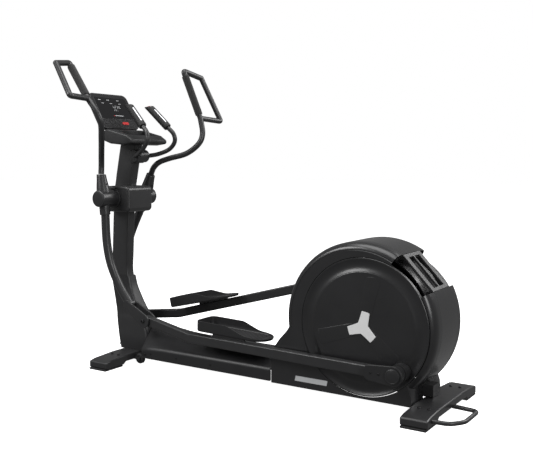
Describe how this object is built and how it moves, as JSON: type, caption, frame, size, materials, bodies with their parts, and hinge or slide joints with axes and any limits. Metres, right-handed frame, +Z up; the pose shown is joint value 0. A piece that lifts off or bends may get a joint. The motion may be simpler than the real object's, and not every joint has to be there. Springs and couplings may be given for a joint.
{
  "type": "elliptical trainer",
  "caption": "Rear-drive elliptical trainer with swinging arms, pedal bars on a crank disc, fixed pulse handlebar and tilted console.",
  "frame": {"origin": "on the floor below the centre of the bounding box", "axes": "+X towards the drive housing at the rear, +Y towards the machine's right side as its user faces the console, +Z up"},
  "size_m": [2.3139, 1.008, 1.7008],
  "materials": {
    "powder_coat": "satin black powder coat with a fine orange-peel grain",
    "black_plastic": "satin black moulded plastic",
    "gloss_plastic": "glossy black moulded plastic",
    "grip_foam": "matte black closed-cell foam",
    "rubber": "matte black rubber",
    "zinc": "bright zinc-plated steel",
    "cast_iron": "dark machined cast iron",
    "pale_plastic": "pale grey satin plastic",
    "red_plastic": "red moulded plastic",
    "display_glass": "near-black glossy display window",
    "silver_trim": "silver metal trim"
  },
  "bodies": {
    "frame": {"base_rail": "powder_coat", "front_foot": "powder_coat", "rear_foot": "powder_coat", "front_foot_cap_left": "rubber", "front_foot_cap_right": "rubber", "rear_foot_cap_left": "rubber", "rear_foot_cap_right": "rubber", "rear_lift_handle": "powder_coat", "wheel_bracket": "powder_coat", "mast": "powder_coat", "mast_boot": "black_plastic", "base_cover_left": "black_plastic", "base_cover_right": "black_plastic", "pivot_housing": "powder_coat", "pivot_shaft": "zinc", "drive_cover_left": "black_plastic", "drive_cover_right": "black_plastic", "drive_crown": "gloss_plastic", "carry_handle": "black_plastic", "drive_frame": "powder_coat", "crank_bearing": "zinc", "magnetic_brake": "black_plastic", "drive_belt": "rubber", "console_shell": "black_plastic", "console_face": "black_plastic", "console_lens": "display_glass", "console_tray": "black_plastic", "handlebar_clamp": "powder_coat", "fixed_handlebar": "powder_coat", "pulse_grip_left": "grip_foam", "pulse_grip_right": "grip_foam", "pulse_contact_left": "silver_trim", "pulse_contact_right": "silver_trim"},
    "crank_set": {"crank_axle": "zinc", "crank_pulley": "black_plastic", "crank_disc_left": "black_plastic", "crank_disc_right": "black_plastic", "crank_arm_left": "powder_coat", "crank_arm_right": "powder_coat", "hub_plate_left": "pale_plastic", "hub_plate_right": "pale_plastic"},
    "flywheel": {"flywheel": "cast_iron"},
    "idler": {"idler_wheel": "black_plastic"},
    "left_arm": {"arm_left": "powder_coat", "arm_handle_left": "powder_coat", "arm_grip_left": "grip_foam"},
    "right_arm": {"arm_right": "powder_coat", "arm_handle_right": "powder_coat", "arm_grip_right": "grip_foam"},
    "left_bar": {"pedal_bar_left": "powder_coat", "bar_cap_left": "black_plastic", "pedal_left": "black_plastic"},
    "right_bar": {"pedal_bar_right": "powder_coat", "bar_cap_right": "black_plastic", "pedal_right": "black_plastic"},
    "left_wheel": {"transport_wheel_left": "rubber"},
    "right_wheel": {"transport_wheel_right": "rubber"},
    "stop_key": {"stop_key": "red_plastic"},
    "left_grip_button": {"grip_button_left": "red_plastic"},
    "right_grip_button": {"grip_button_right": "red_plastic"}
  },
  "joints": [
    {"name": "left_arm_swing", "type": "hinge", "parent": "frame", "child": "left_arm", "pos_m": [-0.9754, 0, 0.931], "axis": [0, 1, 0], "range_deg": [0, 31.34]},
    {"name": "right_arm_swing", "type": "hinge", "parent": "frame", "child": "right_arm", "pos_m": [-0.9754, 0, 0.931], "axis": [0, 1, 0], "range_deg": [-30.4, 0]},
    {"name": "left_bar_pivot", "type": "hinge", "parent": "left_arm", "child": "left_bar", "pos_m": [-0.7004, -0.142, 0.258], "axis": [0, 1, 0], "range_deg": [-33.02, 0]},
    {"name": "right_bar_pivot", "type": "hinge", "parent": "right_arm", "child": "right_bar", "pos_m": [-1.0493, 0.142, 0.2078], "axis": [0, 1, 0], "range_deg": [0, 32.75]},
    {"name": "crank_spin", "type": "hinge", "parent": "frame", "child": "crank_set", "pos_m": [0.6496, 0, 0.384], "axis": [0, 1, 0], "continuous": true},
    {"name": "flywheel_spin", "type": "hinge", "parent": "frame", "child": "flywheel", "pos_m": [0.4346, 0, 0.27], "axis": [0, 1, 0], "continuous": true},
    {"name": "idler_spin", "type": "hinge", "parent": "frame", "child": "idler", "pos_m": [0.564, 0.095, 0.2308], "axis": [0, 1, 0], "continuous": true},
    {"name": "left_wheel_spin", "type": "hinge", "parent": "frame", "child": "left_wheel", "pos_m": [-0.7639, -0.125, 0.029], "axis": [0, 1, 0], "continuous": true},
    {"name": "right_wheel_spin", "type": "hinge", "parent": "frame", "child": "right_wheel", "pos_m": [-0.7639, 0.125, 0.029], "axis": [0, 1, 0], "continuous": true},
    {"name": "stop_key_press", "type": "slide", "parent": "frame", "child": "stop_key", "axis": [-0.866, 0, -0.5], "range_m": [0, 0.003], "stiffness_N_per_m": 300},
    {"name": "left_button_press", "type": "slide", "parent": "frame", "child": "left_grip_button", "axis": [0.7073, -0.1225, -0.6962], "range_m": [0, 0.0025], "stiffness_N_per_m": 300},
    {"name": "right_button_press", "type": "slide", "parent": "frame", "child": "right_grip_button", "axis": [0.7073, 0.1225, -0.6962], "range_m": [0, 0.0025], "stiffness_N_per_m": 300}
  ],
  "couplings": [
    {"joint": "right_arm_swing", "follows": "left_arm_swing", "ratio": -0.9696},
    {"joint": "left_bar_pivot", "follows": "left_arm_swing", "ratio": -1.0531},
    {"joint": "right_bar_pivot", "follows": "left_arm_swing", "ratio": 1.0446},
    {"joint": "crank_spin", "follows": "left_arm_swing", "ratio": 3.0313},
    {"joint": "flywheel_spin", "follows": "left_arm_swing", "ratio": 12.125},
    {"joint": "idler_spin", "follows": "left_arm_swing", "ratio": -18.188}
  ]
}
